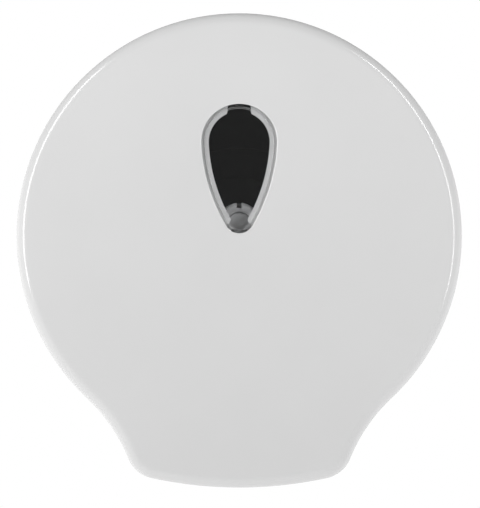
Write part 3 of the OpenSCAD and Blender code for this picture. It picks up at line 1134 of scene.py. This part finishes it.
@dataclass
class Hub:
    """The turning hub: a light sleeve with a rounded notched nose, on a dark disc behind it."""

    radius: float = 16 * MM
    wall: float = 2.6 * MM
    bore: float = 6.05 * MM
    recess: float = 6 * MM
    steps: int = 96
    corner: float = 0.5 * MM
    nose: float = 3.4 * MM
    nose_steps: int = 10
    notch: float = 3.7 * MM
    notch_depth: float = 4.2 * MM
    notch_length: float = 38 * MM
    notches: int = 4
    disc: float = 38 * MM
    disc_thickness: float = 2.5 * MM
    disc_steps: int = 128

    def __post_init__(self) -> None:
        """Works out the levels."""
        low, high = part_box("roll_hub")
        self.foot, self.front = -high.y, -low.y
        self.disc_top = self.foot + self.disc_thickness

    def plate(self) -> Mesh:
        """Builds the disc behind the roll.

        Returns:
            The mesh.
        """
        bm = bmesh.new()
        spin_section(bm, [
            (self.bore, self.foot), (self.disc, self.foot),
            (self.disc, self.disc_top), (self.bore, self.disc_top),
        ], self.disc_steps)
        soften(bm, self.corner)
        return bm

    def blank(self) -> Mesh:
        """Builds the sleeve before it is hollowed.

        Returns:
            The mesh.
        """
        core, ledge = self.bore + self.wall, self.front - self.recess
        bm = bmesh.new()
        spin_section(bm, [
            (self.bore, self.disc_top), (self.radius, self.disc_top), (self.radius, self.front),
            (core, self.front), (core, ledge), (self.bore, ledge),
        ], self.steps)
        ring = {
            v for v in bm.verts
            if abs(v.co.y + self.front) < WELD
            and abs(math.hypot(v.co.x, v.co.z) - self.radius) < WELD
        }
        round_off(bm, [e for e in bm.edges if ring.issuperset(e.verts)], self.nose, self.nose_steps)
        soften(bm, self.corner, segments=3)
        bmesh.ops.recalc_face_normals(bm, faces=bm.faces)
        return bm

    def hollow(self) -> Mesh:
        """Makes the ring that is taken out of the sleeve.

        Returns:
            The mesh.
        """
        core, sleeve = self.bore + self.wall, self.radius - self.wall
        ceiling, ledge = self.front - self.wall, self.front - self.recess - self.wall
        bm = bmesh.new()
        spin_section(bm, [
            (core, self.foot), (sleeve, self.foot), (sleeve, ceiling),
            (core + self.wall, ceiling), (core + self.wall, ledge), (core, ledge),
        ], self.steps)
        return bm

    def notch_tool(self, number: int) -> Mesh:
        """Makes the block that cuts a notch.

        Args:
            number: Which notch it is, from 0 at the right.

        Returns:
            The mesh.
        """
        bm = block(
            (self.radius - self.notch_depth, -self.front - OVERRUN, -self.notch / 2),
            (self.radius + OVERRUN, -self.front + self.notch_length, self.notch / 2),
        )
        turn = Matrix.Rotation(math.tau * number / self.notches, 3, "Y")
        bmesh.ops.rotate(bm, verts=bm.verts, cent=(0, 0, 0), matrix=turn)
        return bm

    def build(self) -> None:
        """Builds the hub."""
        disc = to_object("hub_disc", self.plate())
        place(disc, "hub", "plate_black", BLACK_DISC, "roll_hub")
        notches = [self.notch_tool(number) for number in range(self.notches)]
        hub = to_object("hub", carve(self.blank(), self.hollow(), *notches))
        place(hub, "hub", "hub_grey", GREY_HUB, "roll_hub")


@dataclass
class PostCap:
    """The domed push-on cap that keeps the hub on the post."""

    collar_height: float = 0.8 * MM
    collar_slope: float = 0.1 * MM
    dome: float = 8.2 * MM
    dome_foot: float = 3.9 * MM
    dome_steps: int = 10
    height: float = 5.5 * MM
    post: float = 6.1 * MM
    post_end: float = 2.85 * MM
    corner: float = 0.25 * MM
    sharp: float = 30.0
    steps: int = 96

    def build(self) -> None:
        """Builds the cap."""
        _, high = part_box("hub_clip")
        foot, collar = -high.y, high.z
        collar_top, top = foot + self.collar_height, foot + self.height
        rise = self.height - self.dome_foot
        ball = (self.dome**2 + rise**2) / (2 * rise)
        lean = math.degrees(math.asin(self.dome / ball))
        crown = quarter((0.0, top - ball), ball, 90 - lean, 90, self.dome_steps)
        bm = bmesh.new()
        spin_section(bm, [
            (0.0, foot), (collar, foot), (collar, collar_top),
            (self.dome, collar_top + self.collar_slope), *crown[:-1], (0.0, top),
        ], self.steps, closed=False)
        soften(bm, self.corner, segments=3, sharp=self.sharp)
        socket = Vector((0, -foot + OVERRUN, 0))
        tool = rod(socket, FACING, self.post, self.post_end + OVERRUN)
        cap = to_object("post_cap", carve(bm, tool))
        place(cap, "base", "post_grey", GREY_POST, "hub_clip")


# ---------- studio


class Toward(Enum):
    """Part of the direction of the surroundings that their light changes along."""

    RIGHT = "X"
    BACK = "Y"
    UP = "Z"
    ASIDE = "X either way"


@dataclass(frozen=True)
class Ramp:
    """A level that runs from first to last while the direction runs from start to end."""

    toward: Toward
    start: float
    end: float
    first: float
    last: float


Glow = tuple[Ramp, ...]


@dataclass(frozen=True)
class Softbox:
    """A tall soft lamp that faces the object, out of the camera's sight."""

    name: str
    at: Point
    size: Pair
    watts: float
    aim: Point = (0.0, 0.0, -0.02)

    def build(self) -> None:
        """Adds the lamp."""
        data = bpy.data.lights.new(self.name, "AREA")
        data.shape = "RECTANGLE"
        data.size, data.size_y = self.size
        data.energy = self.watts
        lamp = bpy.data.objects.new(self.name, data)
        lamp.location = self.at
        facing = Vector(self.aim) - Vector(self.at)
        lamp.rotation_euler = facing.to_track_quat("-Z", "Y").to_euler()
        lamp.visible_camera, lamp.visible_transmission = False, False
        bpy.context.scene.collection.objects.link(lamp)


@dataclass
class Studio:
    """Camera, lamps, floor and white surroundings.

    Each glow of the surroundings is the product of its ramps. The light is the strongest of its
    glows, and what gloss mirrors has a glow of its own.
    """

    photo_width: int = 480
    photo_height: int = 508
    pixel: float = 0.775 * MM
    body_x: float = 239.2
    body_y: float = 235.9
    edge: float = Cover.edge
    distance: float = 3.0
    sensor: float = 36.0
    floor_level: float = -0.34
    floor_radius: float = 1.6
    floor_glow: float = 0.55
    lamps: tuple[Softbox, ...] = (
        Softbox("left softbox", (-1.08, -1.06, 0.42), (0.34, 1.5), 13.8),
        Softbox("right softbox", (0.9, -1.2, 0.42), (0.2, 1.5), 10.0),
    )
    low_light: Glow = (Ramp(Toward.UP, -0.6, 0.6, 0.36, 0.0),)
    foot_light: Glow = (Ramp(Toward.UP, -1.0, -0.5, 1.8, 0.0),)
    side_light: Glow = (
        Ramp(Toward.ASIDE, 0.5, 0.95, 0.0, 2.0),
        Ramp(Toward.UP, -0.8, 0.6, 1.2, 0.15),
    )
    back_light: Glow = (
        Ramp(Toward.BACK, -0.3, 0.4, 0.0, 1.0),
        Ramp(Toward.UP, 0.1, 0.6, 1.4, 0.6),
    )
    mirrored: Glow = (
        Ramp(Toward.BACK, -0.95, -0.6, 0.25, 1.0),
        Ramp(Toward.UP, 0.1, 0.5, 1.0, 0.25),
        Ramp(Toward.RIGHT, -0.4, 0.4, 1.0, 0.6),
    )

    def camera(self) -> None:
        """Sets the camera square in front of the cover, where the photograph was taken."""
        low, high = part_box("front_cover")
        radius = (high.x - low.x) / 2
        centre_x = (self.photo_width / 2 - self.body_x) * self.pixel
        centre_z = high.z - radius - (self.photo_height / 2 - self.body_y) * self.pixel
        silhouette = -low.y - self.edge
        view_width = self.photo_width * self.pixel
        data = bpy.data.cameras.new("camera")
        data.sensor_width = self.sensor
        data.sensor_fit = "HORIZONTAL"
        data.lens = self.sensor * (self.distance - silhouette) / view_width
        camera = bpy.data.objects.new("camera", data)
        camera.location = (centre_x, -self.distance, centre_z)
        camera.rotation_euler = (math.radians(90), 0, 0)
        bpy.context.scene.collection.objects.link(camera)
        bpy.context.scene.camera = camera

    def surroundings(self) -> None:
        """Makes the surroundings white to the eye, and uneven as light and in gloss.

        They are white through the lens too, on the straight way from the camera.
        """
        world = bpy.data.worlds.new("surroundings")
        bpy.context.scene.world = world
        world.use_nodes = True
        recipe = Recipe(world.node_tree)
        direction = recipe.add("TexCoord").outputs["Generated"]
        parts = recipe.add("SeparateXYZ", Vector=direction).outputs
        along = {toward: parts[toward.value] for toward in (Toward.RIGHT, Toward.BACK, Toward.UP)}
        along[Toward.ASIDE] = recipe.sum("ABSOLUTE", parts["X"], 0.0)

        def level(glow: Glow) -> Socket:
            """Returns the product of a glow's ramps."""
            levels = [recipe.span(along[r.toward], r.start, r.end, r.first, r.last) for r in glow]
            return recipe.chain("MULTIPLY", levels)

        path = recipe.add("LightPath").outputs
        turned = recipe.sum("ADD", path["Diffuse Depth"], path["Glossy Depth"])
        straight = recipe.sum("SUBTRACT", path["Is Transmission Ray"], turned, use_clamp=True)
        seen = recipe.sum("MAXIMUM", path["Is Camera Ray"], straight)
        glows = (self.low_light, self.foot_light, self.side_light, self.back_light)
        light = recipe.chain("MAXIMUM", [level(glow) for glow in glows])
        strength = recipe.mix(Mixing.NUMBERS, path["Is Glossy Ray"], light, level(self.mirrored))
        strength = recipe.mix(Mixing.NUMBERS, seen, strength, 1.0)
        sky = recipe.add("Background", Color=(1, 1, 1, 1), Strength=strength)
        recipe.add("OutputWorld", Surface=sky.outputs[0])

    def floor(self) -> None:
        """Lays a plain pale floor well below the open cover. Its glow is for the eye alone."""
        bm = bmesh.new()
        bmesh.ops.create_circle(
            bm, cap_ends=True, segments=96, radius=self.floor_radius,
            matrix=Matrix.Translation(UP * self.floor_level),
        )
        floor = to_object("floor", bm)
        dress(floor, PALE_FLOOR)
        recipe = Recipe(floor.active_material.node_tree, fresh=False)
        shader = recipe.tree.nodes["Principled BSDF"]
        eye = recipe.add("LightPath").outputs["Is Camera Ray"]
        glow = recipe.sum("MULTIPLY", eye, self.floor_glow)
        recipe.feed(shader, Emission_Color=(1, 1, 1, 1), Emission_Strength=glow)
        floor.visible_diffuse, floor.visible_glossy = False, False

    def build(self) -> None:
        """Sets up the studio."""
        bpy.context.scene.view_settings.view_transform = "Standard"
        self.camera()
        for lamp in self.lamps:
            lamp.build()
        self.surroundings()
        self.floor()
        log.info("studio: %d lamps", len(self.lamps))


def main() -> None:
    """Builds the sub-assemblies in order."""
    logging.basicConfig(level=logging.INFO, format="%(message)s")
    Studio().build()
    for name, finish in NODE_FINISHES.items():
        dress_node(name, finish)
    for part in (Cover(), Lens(), Hub(), PostCap()):
        part.build()


if __name__ == "__main__":
    main()
